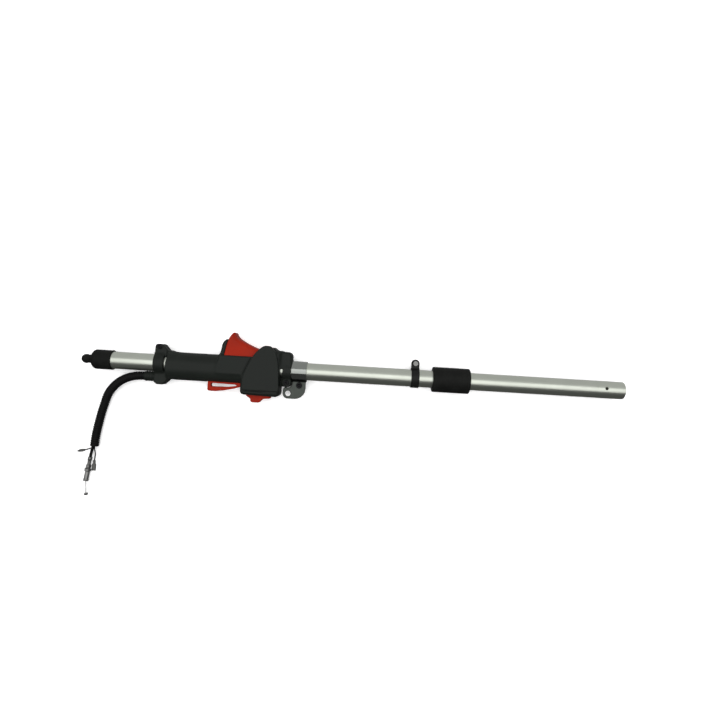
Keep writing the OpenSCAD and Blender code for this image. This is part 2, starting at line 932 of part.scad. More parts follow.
module adjuster_nuts() {
    thick = 4;
    color(dull_zinc)
        on_fitting()
            for (nut = nuts)
                translate([0, 0, nut[0]])
                    difference() {
                        cylinder(h = thick, r = nut[1] / 2 / cos(30), $fn = 6);
                        translate([0, 0, -1]) cylinder(h = thick + 2, r = 2.9);
                    }
}

module throttle_wire_tail() {
    inside = 2;
    color(bright_steel)
        on_wire()
            translate([0, 0, -inside]) cylinder(h = inside + wire_out - nipple_r, r = wire_d / 2, $fn = 16);
}

module tail_nipple() {
    color(dull_zinc)
        on_wire()
            translate([0, 0, wire_out])
                rotate([0, 90, 0]) cylinder(h = 2 * nipple_half, r = nipple_r, center = true);
}

drive_tube();
drive_shaft();
shaft_liners();
shaft_bushes();
engine_end_cap();
rubber_sleeve();
stop_clamp();
stop_clamp_screw();
stop_clamp_nut();
hanger_bracket();
hanger_bolt();
hanger_nut();
handle_shell_front();
handle_shell_back();
linkage_cover();
clamp_screws();
clamp_nuts();
shell_screws();
throttle_trigger();
trigger_pin();
trigger_spring();
safety_lever();
safety_pin();
safety_spring();
stop_rocker();
rocker_pin();
switch_housing();
switch_contacts();
cable_stop();
throttle_wire_front();
front_nipple();
throttle_cable_held();
stop_wires_held();
conduit_collar();
conduit();
throttle_cable_tail();
stop_wire_a();
stop_wire_b();
bullet_terminal();
spade_terminal();
cable_adjuster();
adjuster_nuts();
throttle_wire_tail();
tail_nipple();
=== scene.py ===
"""Looks of the upper shaft of a pole tool: handle, controls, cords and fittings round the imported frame."""
import json
import math

import bpy
import numpy as np
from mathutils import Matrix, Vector


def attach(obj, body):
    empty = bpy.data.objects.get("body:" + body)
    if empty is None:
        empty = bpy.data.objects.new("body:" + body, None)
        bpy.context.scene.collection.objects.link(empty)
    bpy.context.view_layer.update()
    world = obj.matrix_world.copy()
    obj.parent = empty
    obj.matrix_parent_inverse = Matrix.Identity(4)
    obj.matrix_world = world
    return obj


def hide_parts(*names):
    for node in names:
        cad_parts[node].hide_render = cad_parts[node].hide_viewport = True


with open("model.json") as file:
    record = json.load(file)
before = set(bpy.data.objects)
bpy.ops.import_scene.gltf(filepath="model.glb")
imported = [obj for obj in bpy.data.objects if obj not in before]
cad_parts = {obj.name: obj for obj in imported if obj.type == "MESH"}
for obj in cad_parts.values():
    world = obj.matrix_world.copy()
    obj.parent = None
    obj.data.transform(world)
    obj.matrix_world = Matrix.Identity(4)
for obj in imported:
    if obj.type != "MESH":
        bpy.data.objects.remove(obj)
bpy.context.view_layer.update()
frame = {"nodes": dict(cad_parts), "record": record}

# Lengths are in millimetres up to the point where a mesh is made.
MM = 0.001
TUBE_R = 14.0
HANDLE_AT = -579.0  # the trigger's pivot, along the tube
PIVOT = (HANDLE_AT, 27.5)
HOUSING_HALF = 20.5
HOUSING_ROOM_HALF = 17.5
TRIGGER_HALF = 17.0
TRIGGER_ROOM_HALF = 14.5
DUCT_Y = -22.4
HANGER_BOLT = (-525.2, -23)
CARRY_HOLE = (-543, -37)
FLOOR_Z = -HOUSING_HALF
THROUGH = 25  # half the depth of a cut that goes through everything


# ---------------------------------------------------------------- camera

def make_camera():
    data = bpy.data.cameras.new("camera")
    data.lens = 26.4
    data.sensor_width = 36.0
    data.clip_end = 20.0
    cam = bpy.data.objects.new("camera", data)
    cam.location = (-0.429, 0.0243, 0.860)
    cam.rotation_euler = (0.0, 0.0, math.radians(3.46))
    bpy.context.scene.collection.objects.link(cam)
    bpy.context.scene.camera = cam


make_camera()


# ---------------------------------------------------------------- materials

class Nodes:
    """A short way to write a material's node tree."""

    def __init__(self, name, base, rough, metal=0.0, shine=0.5):
        self.mat = bpy.data.materials.new(name)
        self.mat.use_nodes = True
        self.tree = self.mat.node_tree
        self.shader = self.tree.nodes["Principled BSDF"]
        self.set("Base Color", (*base, 1.0))
        self.set("Roughness", rough)
        self.set("Specular IOR Level", shine)
        self.set("Metallic", metal)

    def set(self, socket, value):
        self.shader.inputs[socket].default_value = value

    def add(self, kind, **values):
        node = self.tree.nodes.new(kind)
        for key, value in values.items():
            if hasattr(node, key):
                setattr(node, key, value)
            else:
                node.inputs[key.replace("_", " ")].default_value = value
        return node

    def link(self, a, b):
        self.tree.links.new(a, b)

    def coords(self, stretch=(1.0, 1.0, 1.0)):
        where = self.add("ShaderNodeTexCoord")
        mapping = self.add("ShaderNodeMapping")
        mapping.inputs["Scale"].default_value = stretch
        self.link(where.outputs["Object"], mapping.inputs["Vector"])
        return mapping.outputs["Vector"]

    def noise(self, scale, detail=3.0, stretch=(1.0, 1.0, 1.0), rough=0.5):
        node = self.add("ShaderNodeTexNoise", Scale=scale, Detail=detail, Roughness=rough)
        self.link(self.coords(stretch), node.inputs["Vector"])
        return node.outputs["Fac"]

    def span(self, value, low, high, to_low, to_high):
        node = self.add("ShaderNodeMapRange")
        for key, number in zip(("From Min", "From Max", "To Min", "To Max"), (low, high, to_low, to_high)):
            node.inputs[key].default_value = number
        self.link(value, node.inputs["Value"])
        return node.outputs["Result"]

    def tint(self, fac, colour_a, colour_b):
        node = self.add("ShaderNodeMix", data_type="RGBA")
        node.inputs["A"].default_value = (*colour_a, 1.0)
        node.inputs["B"].default_value = (*colour_b, 1.0)
        self.link(fac, node.inputs["Factor"])
        return node.outputs["Result"]

    def over(self, fac, under, colour):
        node = self.add("ShaderNodeMix", data_type="RGBA")
        self.link(under, node.inputs["A"])
        node.inputs["B"].default_value = (*colour, 1.0)
        self.link(fac, node.inputs["Factor"])
        return node.outputs["Result"]

    def bump(self, height, distance, strength=1.0, onto=None):
        node = self.add("ShaderNodeBump", Strength=strength, Distance=distance)
        self.link(height, node.inputs["Height"])
        if onto is not None:
            self.link(onto, node.inputs["Normal"])
        return node.outputs["Normal"]

    def edges(self, low, high):
        """1 on the worn outer edges of a dense mesh, 0 elsewhere."""
        where = self.add("ShaderNodeNewGeometry")
        return self.span(where.outputs["Pointiness"], low, high, 0.0, 1.0)

    def times(self, a, b):
        node = self.add("ShaderNodeMath", operation="MULTIPLY")
        self.link(a, node.inputs[0])
        self.link(b, node.inputs[1])
        return node.outputs["Value"]


def shade(colour, k):
    return tuple(min(1.0, c * k) for c in colour)


def moulded_plastic(name, base, rough, grain=0.00035, depth=0.00003, worn=1.8, shine=0.22):
    """Fine moulded texture, slow colour changes, lighter worn edges."""
    m = Nodes(name, base, rough, shine=shine)
    slow = m.noise(28.0, 4.0)
    fine = m.noise(1.0 / grain, 2.0)
    colour = m.tint(m.span(slow, 0.3, 0.7, 0.0, 1.0), shade(base, 0.85), shade(base, 1.18))
    wear = m.times(m.edges(0.53, 0.62), m.noise(160.0, 5.0))
    m.link(m.over(wear, colour, shade(base, worn)), m.shader.inputs["Base Color"])
    m.link(m.span(slow, 0.25, 0.75, rough - 0.07, rough + 0.08), m.shader.inputs["Roughness"])
    m.link(m.bump(fine, depth, 0.6), m.shader.inputs["Normal"])
    return m.mat


def matt_rubber(name, base, rough=0.62):
    """Dull rubber with a little dust on it."""
    m = Nodes(name, base, rough, shine=0.16)
    dust = m.noise(55.0, 6.0, rough=0.65)
    fine = m.noise(2200.0, 2.0)
    colour = m.tint(m.span(dust, 0.45, 0.75, 0.0, 1.0), base, shade(base, 1.9))
    m.link(colour, m.shader.inputs["Base Color"])
    m.link(m.span(dust, 0.3, 0.7, rough - 0.06, rough + 0.1), m.shader.inputs["Roughness"])
    m.link(m.bump(fine, 0.00002, 0.7), m.shader.inputs["Normal"])
    return m.mat


def drawn_metal(name, base, low, high, lines=(3.0, 1400.0, 1400.0), depth=0.000012, stain=0.92):
    """Metal with fine lines along X, duller patches and a few scratches."""
    m = Nodes(name, base, low, 1.0)
    streak = m.noise(1.0, 3.0, lines)
    patch = m.noise(14.0, 5.0, rough=0.6)
    colour = m.tint(m.span(patch, 0.35, 0.7, 0.0, 1.0), base, shade(base, stain))
    m.link(colour, m.shader.inputs["Base Color"])
    blended = m.times(m.span(streak, 0.3, 0.7, 0.92, 1.08), m.span(patch, 0.3, 0.7, low, high))
    m.link(blended, m.shader.inputs["Roughness"])
    scratch = m.noise(1.0, 2.0, (260.0, 30.0, 30.0))
    normal = m.bump(streak, depth, 0.2)
    m.link(m.bump(m.span(scratch, 0.7, 0.74, 0.0, 1.0), 0.00001, 0.3, normal), m.shader.inputs["Normal"])
    return m.mat


def plated_steel(name, base, rough, worn=0.75):
    """Plated or bare metal with slow clouds of a duller shade."""
    m = Nodes(name, base, rough, 1.0)
    cloud = m.noise(180.0, 5.0, rough=0.6)
    fine = m.noise(1500.0, 3.0)
    colour = m.tint(m.span(cloud, 0.3, 0.7, 0.0, 1.0), shade(base, worn), shade(base, 1.08))
    m.link(colour, m.shader.inputs["Base Color"])
    m.link(m.span(cloud, 0.3, 0.7, rough - 0.06, rough + 0.12), m.shader.inputs["Roughness"])
    m.link(m.bump(fine, 0.000012, 0.5), m.shader.inputs["Normal"])
    return m.mat


def hanger_metal():
    """Polished round the tube, brushed and duller on the hanging plate, whose colour is also darkened as
    painted shade.
    """
    m = Nodes("hanger_steel_surface", (0.74, 0.75, 0.74), 0.14, 1.0)
    where = m.add("ShaderNodeTexCoord")
    split = m.add("ShaderNodeSeparateXYZ")
    m.link(where.outputs["Object"], split.inputs["Vector"])
    plate = m.span(split.outputs["Y"], -0.0155, -0.0135, 1.0, 0.0)
    cloud = m.noise(120.0, 5.0, rough=0.6)
    brush = m.noise(1.0, 3.0, (90.0, 2500.0, 90.0))
    rough = m.add("ShaderNodeMix", data_type="FLOAT")
    m.link(plate, rough.inputs["Factor"])
    m.link(m.span(cloud, 0.3, 0.7, 0.07, 0.15), rough.inputs["A"])
    m.link(m.span(cloud, 0.3, 0.7, 0.3, 0.42), rough.inputs["B"])
    m.link(rough.outputs["Result"], m.shader.inputs["Roughness"])
    # The plate's far darker colour is painted shade: it is the same steel as the band, darkened where it
    # reflects a dim room.
    m.link(m.tint(plate, (0.39, 0.41, 0.385), (0.078, 0.086, 0.078)), m.shader.inputs["Base Color"])
    m.link(m.bump(brush, 0.00001, 0.5), m.shader.inputs["Normal"])
    return m.mat


CHARCOAL = (0.0075, 0.0095, 0.0078)
SIGNAL_RED = (0.245, 0.0115, 0.0025)
CORD_BLACK = (0.003, 0.003, 0.003)
MATERIALS = {
    "tube_aluminium": drawn_metal("tube_aluminium_surface", (0.76, 0.80, 0.71), 0.3, 0.36),
    "shaft_steel": drawn_metal("shaft_steel_surface", (0.46, 0.46, 0.47), 0.2, 0.35),
    "liner_bronze": plated_steel("liner_bronze_surface", (0.62, 0.40, 0.18), 0.35),
    "black_rubber": matt_rubber("black_rubber_surface", (0.0042, 0.0045, 0.004)),
    "handle_plastic": moulded_plastic("handle_plastic_surface", CHARCOAL, 0.5),
    "clip_plastic": moulded_plastic("clip_plastic_surface", (0.005, 0.0052, 0.0048), 0.42),
    "red_plastic": moulded_plastic("red_plastic_surface", SIGNAL_RED, 0.52, worn=1.35, shine=0.12),
    "hanger_steel": hanger_metal(),
    "zinc_steel": plated_steel("zinc_steel_surface", (0.34, 0.34, 0.33), 0.36),
    "black_steel": plated_steel("black_steel_surface", (0.035, 0.035, 0.037), 0.38),
    "spring_steel": plated_steel("spring_steel_surface", (0.66, 0.66, 0.65), 0.35),
    "contact_brass": plated_steel("contact_brass_surface", (0.75, 0.55, 0.22), 0.28),
    "cord_black": moulded_plastic("cord_black_surface", CORD_BLACK, 0.45, grain=0.0005, shine=0.16),
    "terminal_grey": plated_steel("terminal_grey_surface", (0.22, 0.22, 0.21), 0.45),
}


def dress(obj, slot):
    obj.data.materials.clear()
    obj.data.materials.append(MATERIALS[slot])


# ---------------------------------------------------------------- mesh tools

def new_mesh(name, points, faces, body, slot, replaced=()):
    """A smooth-shaded piece from points in millimetres, riding on a body."""
    mesh = bpy.data.meshes.new(name)
    mesh.from_pydata((np.asarray(points) * MM).tolist(), [], [tuple(int(i) for i in f) for f in faces])
    mesh.shade_smooth()
    mesh.update()
    obj = bpy.data.objects.new(name, mesh)
    bpy.context.scene.collection.objects.link(obj)
    dress(obj, slot)
    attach(obj, body)
    if replaced:
        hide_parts(*replaced)
    return obj


def unit(v):
    return v / np.linalg.norm(v, axis=-1, keepdims=True)


def spline(points, per_span=10):
    """A smooth curve through the points (Catmull-Rom)."""
    p = np.asarray(points, float)
    p = np.vstack([2 * p[0] - p[1], p, 2 * p[-1] - p[-2]])
    out = []
    for i in range(1, len(p) - 2):
        for t in np.linspace(0, 1, per_span, endpoint=False):
            a, b, c, d = p[i - 1:i + 3]
            out.append(0.5 * (2 * b + (c - a) * t + (2 * a - 5 * b + 4 * c - d) * t * t
                              + (3 * b - a - 3 * c + d) * t ** 3))
    return np.vstack([out, p[-2]])


def resample(path, step):
    """The path's points at even distances of about step, and each one's distance."""
    lengths = np.concatenate([[0], np.cumsum(np.linalg.norm(np.diff(path, axis=0), axis=1))])
    count = max(3, int(round(lengths[-1] / step)) + 1)
    s = np.linspace(0, lengths[-1], count)
    return np.stack([np.interp(s, lengths, path[:, k]) for k in range(3)], axis=1), s


def frames(path):
    """Tangent, level side and up at each point of a path."""
    t = unit(np.gradient(path, axis=0))
    side = np.cross([0.0, 0.0, 1.0], t)
    weak = np.linalg.norm(side, axis=1) < 1e-6
    side[weak] = [0.0, 1.0, 0.0]
    side = unit(side)
    return t, side, np.cross(t, side)


def tube_rings(path, radii, sides):
    _, side, up = frames(path)
    a = np.linspace(0, 2 * math.pi, sides, endpoint=False)
    ring = np.cos(a)[None, :, None] * side[:, None] + np.sin(a)[None, :, None] * up[:, None]
    radii = np.broadcast_to(np.asarray(radii, float).reshape(len(radii), -1), (len(path), sides))
    return path[:, None] + ring * radii[:, :, None]


def skin(rings, closed_ends=True, loop=False):
    """Points and faces of a skin over rings, each an array of points in turn."""
    m, n = rings.shape[:2]
    index = np.arange(m * n).reshape(m, n)
    rows = range(m if loop else m - 1)
    faces = []
    for i in rows:
        j = (i + 1) % m
        for k in range(n):
            k2 = (k + 1) % n
            faces.append((index[i, k], index[j, k], index[j, k2], index[i, k2]))
    if closed_ends and not loop:
        faces.append(tuple(index[0]))
        faces.append(tuple(index[-1][::-1]))
    return rings.reshape(-1, 3), faces


def fillet(corners, steps=6):
    """A closed outline from (x, y, radius) corners, each rounded to its radius."""
    out = []
    n = len(corners)
    for i in range(n):
        x, y, r = corners[i]
        here = np.array([x, y], float)
        back = np.array(corners[i - 1][:2], float) - here
        on = np.array(corners[(i + 1) % n][:2], float) - here
        lb, lo = np.linalg.norm(back), np.linalg.norm(on)
        back, on = back / lb, on / lo
        half = 0.5 * math.acos(max(-1.0, min(1.0, float(back @ on))))
        reach = min(r / math.tan(half), 0.49 * lb, 0.49 * lo) if r > 0 else 0.0
        if reach < 1e-6 or half > 1.565:
            out.append(here)
            continue
        r = reach * math.tan(half)
        centre = here + unit(back + on) * r / math.sin(half)
        a, b = here + back * reach - centre, here + on * reach - centre
        turn = math.acos(max(-1.0, min(1.0, float(a @ b) / (r * r))))
        way = 1.0 if a[0] * b[1] - a[1] * b[0] > 0 else -1.0
        for t in np.linspace(0, way * turn, steps):
            c, s = math.cos(t), math.sin(t)
            out.append(centre + np.array([a[0] * c - a[1] * s, a[0] * s + a[1] * c]))
    return np.array(out)


def outline(x, y, points):
    """Signed distance to a closed outline, below 0 inside."""
    far = np.full(np.broadcast(x, y).shape, 1e9)
    inside = np.zeros(far.shape, bool)
    for a, b in zip(points, np.roll(points, -1, axis=0)):
        ex, ey = b - a
        wx, wy = x - a[0], y - a[1]
        t = np.clip((wx * ex + wy * ey) / (ex * ex + ey * ey + 1e-12), 0, 1)
        far = np.minimum(far, (wx - ex * t) ** 2 + (wy - ey * t) ** 2)
        crosses = (a[1] <= y) != (b[1] <= y)
        with np.errstate(divide="ignore", invalid="ignore"):
            inside ^= crosses & (x < a[0] + ex * (y - a[1]) / (ey if ey else 1e-12))
    return np.where(inside, -1, 1) * np.sqrt(far)


def slab(flat, z, low, high, edge=0.0):
    """A flat distance made solid between two heights, with rounded edges."""
    a = flat + edge
    b = np.abs(z - (low + high) / 2) - (high - low) / 2 + edge
    return np.minimum(np.maximum(a, b), 0) + np.hypot(np.maximum(a, 0), np.maximum(b, 0)) - edge


def disc(x, y, at, r):
    return np.hypot(x - at[0], y - at[1]) - r


def merge(a, b, k=0.0):
    """Union of two solids, with a fillet of about k where they meet."""
    if k <= 0:
        return np.minimum(a, b)
    h = np.clip(0.5 + 0.5 * (b - a) / k, 0, 1)
    return b + (a - b) * h - k * h * (1 - h)


def cut(a, b, k=0.0):
    return -merge(-a, b, k)


def soften(field, cells):
    """Rounds every edge of a sampled solid by about that many cells."""
    reach = int(math.ceil(2.5 * cells))
    kernel = np.exp(-0.5 * (np.arange(-reach, reach + 1) / cells) ** 2)
    kernel /= kernel.sum()
    for axis in range(3):
        pad = [(reach, reach) if k == axis else (0, 0) for k in range(3)]
        wide = np.pad(field, pad, mode="edge")
        total = 0
        for i, w in enumerate(kernel):
            total = total + w * np.take(wide, range(i, i + field.shape[axis]), axis=axis)
        field = total
    return field


class Block:
    """A box of sample points on which a solid is built as a distance field."""

    def __init__(self, low, high, step):
        self.low, self.step = np.asarray(low, float), step
        counts = [int(math.ceil((h - l) / step)) + 1 for l, h in zip(low, high)]
        axes = [l + step * np.arange(c) for l, c in zip(low, counts)]
        shapes = ((-1, 1, 1), (1, -1, 1), (1, 1, -1))
        self.x, self.y, self.z = (a.reshape(shape) for a, shape in zip(axes, shapes))
        self.shape = tuple(counts)

    def full(self, field):
        return np.array(np.broadcast_to(field, self.shape))

    def mesh(self, field, name, body, slot, replaced=()):
        """The solid's surface as quads, one point in each cell that it crosses."""
        f = self.full(field)
        for axis in range(3):
            first = [slice(None)] * 3
            for end in (0, -1):
                first[axis] = end
                f[tuple(first)] = np.maximum(f[tuple(first)], 0.4 * self.step)
        cells = tuple(c - 1 for c in self.shape)
        total, hits = np.zeros(cells + (3,)), np.zeros(cells)
        faces = []
        for axis in range(3):
            u, v = (axis + 1) % 3, (axis + 2) % 3
            lo = [slice(None)] * 3
            hi = [slice(None)] * 3
            lo[axis], hi[axis] = slice(None, -1), slice(1, None)
            a, b = f[tuple(lo)], f[tuple(hi)]
            crossing = (a < 0) != (b < 0)
            where = np.argwhere(crossing)
            t = (a[crossing] / (a[crossing] - b[crossing]))
            point = where.astype(float)
            point[:, axis] += t
            for du in (0, 1):
                for dv in (0, 1):
                    cell = where.copy()
                    cell[:, u] -= du
                    cell[:, v] -= dv
                    ok = np.all((cell >= 0) & (cell < cells), axis=1)
                    key = tuple(cell[ok].T)
                    np.add.at(total, key, point[ok])
                    np.add.at(hits, key, 1)
            faces.append((axis, u, v, where, a[crossing] < 0))
        used = hits > 0
        number = np.full(cells, -1)
        number[used] = np.arange(used.sum())
        points = self.low + self.step * (total[used] / hits[used][:, None])
        quads = []
        for axis, u, v, where, outward in faces:
            around = []
            for du, dv in ((1, 1), (0, 1), (0, 0), (1, 0)):
                cell = where.copy()
                cell[:, u] -= du
                cell[:, v] -= dv
                inside = np.all((cell >= 0) & (cell < cells), axis=1)
                cell[~inside] = 0
                around.append(np.where(inside, number[tuple(cell.T)], -1))
            quad = np.stack(around, axis=1)
            quad[~outward] = quad[~outward][:, ::-1]
            quads.append(quad[np.all(quad >= 0, axis=1)])
        return new_mesh(name, points, np.vstack(quads), body, slot, replaced)


def lathe(profile, name, body, slot, replaced=(), place=None, sides=96, thread=None):
    """A piece turned round the X axis from an outline of (x, radius) points.
    thread is (from, to, pitch, depth) of an outer thread; place moves the points."""
    profile = np.asarray(profile, float)
    a = np.linspace(0, 2 * math.pi, sides, endpoint=False)
    x = np.repeat(profile[:, :1], sides, axis=1)
    r = np.repeat(profile[:, 1:], sides, axis=1)
    if thread:
        low, high, pitch, depth = thread
        wave = np.abs(((x / pitch + a / (2 * math.pi)) % 1.0) * 2 - 1)
        outside = r > 0.495 * profile[:, 1].max()
        on = (x > low) & (x < high) & outside
        r = np.where(on, r - depth * wave, r)
    rings = np.stack([x, r * np.cos(a), r * np.sin(a)], axis=2)
    points, faces = skin(rings, closed_ends=False, loop=True)
    if place is not None:
        points = place(points)
    return new_mesh(name, points, faces, body, slot, replaced)


def arc(cx, cr, radius, start, stop, steps=6):
    """Points of an arc in a profile, angles in degrees from the X axis."""
    a = np.radians(np.linspace(start, stop, steps))
    return [(cx + radius * math.cos(t), cr + radius * math.sin(t)) for t in a]


# ---------------------------------------------------------------- cords

CONDUIT_ROUTE = [
    (-764, -22.4, 0), (-780, -22.4, 0), (-794, -23.8, -0.5), (-808, -28, -2.6), (-822, -36, -5.5),
    (-833, -46.5, -8.4), (-840.7, -58, -11), (-845.6, -71.5, -13), (-848.8, -82.5, -13.4),
    (-851.3, -93, -13.4), (-853.3, -103, -13.4), (-855.2, -113, -13.4), (-856.8, -123, -13.4),
    (-858.1, -133.5, -13.4), (-858.8, -144, -13.4),
]
CABLE_END_ROUTE = [
    (-860, -133.5, -15), (-861.6, -144, -14.5), (-862.9, -149.5, -14.9), (-863.9, -154, -15.2),
    (-864.8, -158, -15.4), (-865.3, -160.5, -15.4), (-865.6, -163, -15.4),
]
LEAD_A_ROUTE = [
    (-861.2, -146.9, -10.7), (-864.6, -148, -11.6), (-868.6, -149.5, -14.6), (-872.8, -151.1, -17.2),
    (-877, -152.4, -18.2),
]
LEAD_B_ROUTE = [
    (-858, -148, -12.3), (-858.3, -152.5, -15), (-858.8, -157.5, -17.6), (-859.6, -163, -18.9),
    (-860.2, -169, -19),
]
CABLE_DROP = -1.8
LEAD_LIFT = 2.6
LEAD_ASIDE = 1.4
CONDUIT_R = 7.0
CONDUIT_BORE_R = 5.5
RIDGE_PITCH = 3.7
RIDGE_DEPTH = 0.9
CABLE_R = 2.35
LEAD_R = 0.95


def beside(route, side, up):
    """A route moved off its own line by a sideways and an upward distance."""
    p = np.asarray(route, float)
    _, s, u = frames(p)
    return p + side * s + up * u


def make_conduit():
    """Corrugated conduit: ridges outside, a plain bore inside, open at its end."""
    path, s = resample(spline(CONDUIT_ROUTE), 0.5)
    ridge = np.clip(0.5 + 0.9 * np.cos(2 * math.pi * s / RIDGE_PITCH), 0, 1)
    outer = tube_rings(path, CONDUIT_R - RIDGE_DEPTH * (1 - ridge), 40)
    bore_path, _ = resample(path, 3.0)
    inner = tube_rings(bore_path, np.full(len(bore_path), CONDUIT_BORE_R), 40)
    points, faces = skin(np.concatenate([outer, inner[::-1]]), loop=True)
    piece = new_mesh("corrugated_conduit", points, faces, "pole", "cord_black", ["conduit"])


def make_lead(name, route, radius, node, sides=20):
    """A round cable or lead along a route."""
    path, _ = resample(spline(route), 1.5)
    points, faces = skin(tube_rings(path, np.full(len(path), radius), sides))
    piece = new_mesh(name, points, faces, "pole", "cord_black", [node])


FITTING_AT = np.array([-865.6, -163.0, -15.4])
FITTING_TURN = math.radians(7.5)
NUTS = ((13.5, 8.0), (19.5, 10.0))
FITTING_WAY = np.array([-math.sin(FITTING_TURN), -math.cos(FITTING_TURN), 0.0])
FITTING_SIDE = np.array([FITTING_WAY[1], -FITTING_WAY[0], 0.0])
FITTING_UP = np.array([0.0, 0.0, 1.0])


def on_fitting(points):
    """Places a piece turned round X on the line of the cable's metal end."""
    p = np.asarray(points, float)
    return FITTING_AT + p[:, :1] * FITTING_WAY + p[:, 1:2] * FITTING_SIDE + p[:, 2:] * FITTING_UP


def fitting_profile():
    """The adjuster's outline: collar, threaded stretch, plain barrel and end flange."""
    bore = 0.75
    collar = [(0, bore), (0, 2.5)] + arc(0.9, 2.5, 0.9, 180, 90, 4) + [(5.4, 3.4), (6.0, 2.9)]
    threaded = [(x, 2.9) for x in np.arange(6.2, 24, 0.14)] + [(24, 2.9)]
    barrel = [(24, 3.4), (24.3, 3.7), (36.6, 3.7)]
    flange = [(37.0, 3.75), (37.2, 4.2), (39.6, 4.2), (40, 3.9), (40, bore)]
    return collar + threaded + barrel + flange


def turned_rings(rows, a):
    """Rings round X, each from its place along X and its radius at every angle."""
    return np.stack([np.stack([np.full(len(a), x), r * np.cos(a), r * np.sin(a)], axis=1) for x, r in rows])


def hex_nut(name, at, across, thick, bore, body, slot, replaced=(), place=None, along=1.0):
    """A chamfered hexagon nut round the X axis, in a lathe whose radius follows the flats."""
    sides = 72
    a = np.linspace(0, 2 * math.pi, sides, endpoint=False)
    flat = across / 2 / np.cos((a % (math.pi / 3)) - math.pi / 6)
    chamfer = across / 2 * 1.04
    hole = np.full(sides, bore)
    rim = np.minimum(flat, chamfer) - 0.1
    corner = np.minimum(flat, chamfer + 0.25)
    rows = [(0.0, hole), (0.0, rim), (0.25, corner), (0.5, flat), (thick - 0.5, flat), (thick - 0.25, corner),
            (thick, rim), (thick, hole)]
    rings = turned_rings([(at + along * x, r) for x, r in rows], a)
    if along < 0:
        rings = rings[::-1]
    points, faces = skin(rings, closed_ends=False, loop=True)
    if place is not None:
        points = place(points)
    return new_mesh(name, points, faces, body, slot, replaced)


def make_cable_end():
    """The adjuster with its thread and its two lock nuts."""
    barrel = lathe(fitting_profile(), "threaded_adjuster", "pole", "zinc_steel", ["cable_adjuster"],
                   on_fitting, 48, thread=(6.2, 23.8, 1.0, 0.35))
    pieces = [barrel]
    for number, (at, across) in enumerate(NUTS, 1):
        replaced = ["adjuster_nuts"] if number == 1 else ()
        name = f"lock_nut_{number}"
        pieces.append(hex_nut(name, at, across, 4.0, 2.9, "pole", "zinc_steel", replaced, on_fitting))
    return pieces


def make_cords():
    make_conduit()
    fitting = make_cable_end()
    cable_route = np.vstack([beside(CONDUIT_ROUTE, 0, CABLE_DROP)[:-2], CABLE_END_ROUTE])
    make_lead("throttle_cable_jacket", cable_route, CABLE_R, "throttle_cable_tail", 28)
    lead_a = np.vstack([beside(CONDUIT_ROUTE, -LEAD_ASIDE, LEAD_LIFT), LEAD_A_ROUTE])
    make_lead("stop_lead_short", lead_a, LEAD_R, "stop_wire_a")
    lead_b = np.vstack([beside(CONDUIT_ROUTE, LEAD_ASIDE, LEAD_LIFT), LEAD_B_ROUTE])
    make_lead("stop_lead_long", lead_b, LEAD_R, "stop_wire_b")


make_cords()


# ---------------------------------------------------------------- handle

def shifted(corners):
    """Outline corners given from the trigger's pivot, moved to their place along the tube."""
    return fillet([(x + HANDLE_AT, y, r) for x, y, r in corners])


LEAF = shifted([
    (-34.5, -34.5, 3), (-35.5, -18.5, 20), (-33.5, -9, 30), (-28.5, 3.5, 60), (-22, 17, 60), (-16, 26, 40),
    (-9, 33.3, 20), (-3, 38, 8), (7, 38, 8), (11.5, 32.8, 12), (16.3, 28, 15), (20, 15, 40), (22, 0.5, 60),
    (23.2, -18.5, 60), (23.8, -34.5, 3),
])
LEAF_TOP = (HANDLE_AT + 2, 27.8)
POD_REAR = shifted([(-76, -8.5, 0), (-15, -8.5, 0), (-15, 19.2, 0), (-76, 19.2, 0)])
POD = shifted([
    (-39, -30, 0), (-39, -42, 6), (23.5, -43.5, 6), (23.5, 30, 0), (9, 30, 3), (4.5, 37.5, 9),
    (-7.5, 37.5, 9), (-20.5, 19.2, 2), (-39, 12, 0),
])
POD_ROOM = shifted([(-75, -8, 0), (-36, -8, 0), (-36, -39, 3), (20, -40, 3), (20, 16.2, 0), (-75, 16.2, 0)])
FIN = shifted([
    (-79, 16, 0), (-75.5, 21.5, 5), (-73.8, 27, 8), (-72.6, 36, 8), (-70, 41.5, 4), (-66, 45.2, 2.5),
    (-62.8, 45.4, 1), (-65.4, 34.8, 10), (-68.3, 18, 0), (-72, 12, 0),
])
REAR_LUG = shifted([
    (-180.8, -20, 0), (-180.8, -30.8, 2), (-175.6, -34.4, 2), (-166, -34.5, 2), (-157.6, -26, 3),
    (-157.6, 10, 0), (-160, 21.6, 2), (-168.4, 31, 5), (-180.8, 31.2, 5),
])
FLARE = shifted([
    (-160, 6, 0), (-160, 21.4, 1), (-157, 21.6, 1), (-154.5, 20.8, 2), (-150, 19.4, 6), (-144.5, 18.4, 6),
    (-140, 16, 3), (-140, 6, 0),
])
FRONT_BLOCK = shifted([
    (10.2, 8, 0), (10.2, 35.6, 1), (12.6, 34.6, 2), (17.5, 30, 4), (40.5, 30, 7), (40.5, 8, 0),
])
FRONT_WEB = shifted([(20, -12, 0), (36, -12, 0), (36, -26, 3), (26, -26, 3), (20, -21, 0)])
REAR_SCREW = (HANDLE_AT - 173, 26.5)
FRONT_SCREW = (HANDLE_AT + 34, -19.5)
HANDLE_STEP = 0.7
FIT = 0.02  # gap left round the tube, so that surfaces don't share a place


def capsule(b, r):
    """The grip's section: two round ends joined by flat sides."""
    y = b.y - np.clip(b.y, -5.8, -0.6)
    return np.hypot(y, b.z) - r


def span(b, flat, low, high):
    """A section held between two places along the tube."""
    return np.maximum(flat, np.abs(b.x - (low + high) / 2 - HANDLE_AT) - (high - low) / 2)


def plate_of(b, points, half, edge=0.0):
    """An outline made solid to the same depth on both sides of the middle."""
    return slab(outline(b.x, b.y, points), b.z, -half, half, edge)


